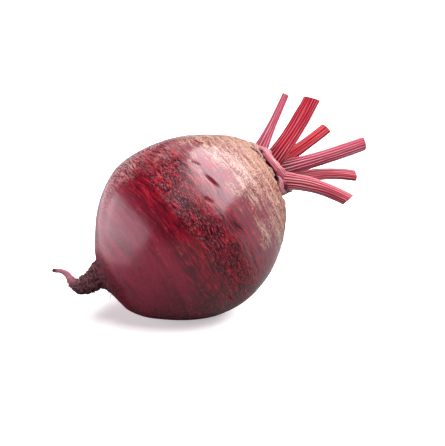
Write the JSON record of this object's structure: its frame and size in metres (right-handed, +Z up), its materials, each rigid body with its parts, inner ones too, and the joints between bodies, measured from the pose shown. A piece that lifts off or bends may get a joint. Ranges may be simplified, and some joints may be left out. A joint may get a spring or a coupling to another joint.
{
  "type": "beetroot",
  "caption": "Whole round beetroot lying on its side, with a curled tap root, a corky crown and short trimmed leaf stalks.",
  "frame": {"origin": "the small flat spot under the globe that the beetroot rests on", "axes": "+Z up, +X towards the crown and leaf stalks, so the tap root is at -X; the root's own axis rises 29.3 degrees towards +X in the XZ plane"},
  "size_m": [0.1405, 0.0778, 0.0922],
  "materials": {
    "root_skin": "satin skin, corky towards the crown",
    "leaf_stalk": "satin, ribbed"
  },
  "bodies": {
    "root": {"swollen_root": "root_skin", "leaf_stalk_1": "leaf_stalk", "leaf_stalk_2": "leaf_stalk", "leaf_stalk_3": "leaf_stalk", "leaf_stalk_4": "leaf_stalk", "leaf_stalk_5": "leaf_stalk", "leaf_stalk_6": "leaf_stalk"}
  },
  "joints": []
}
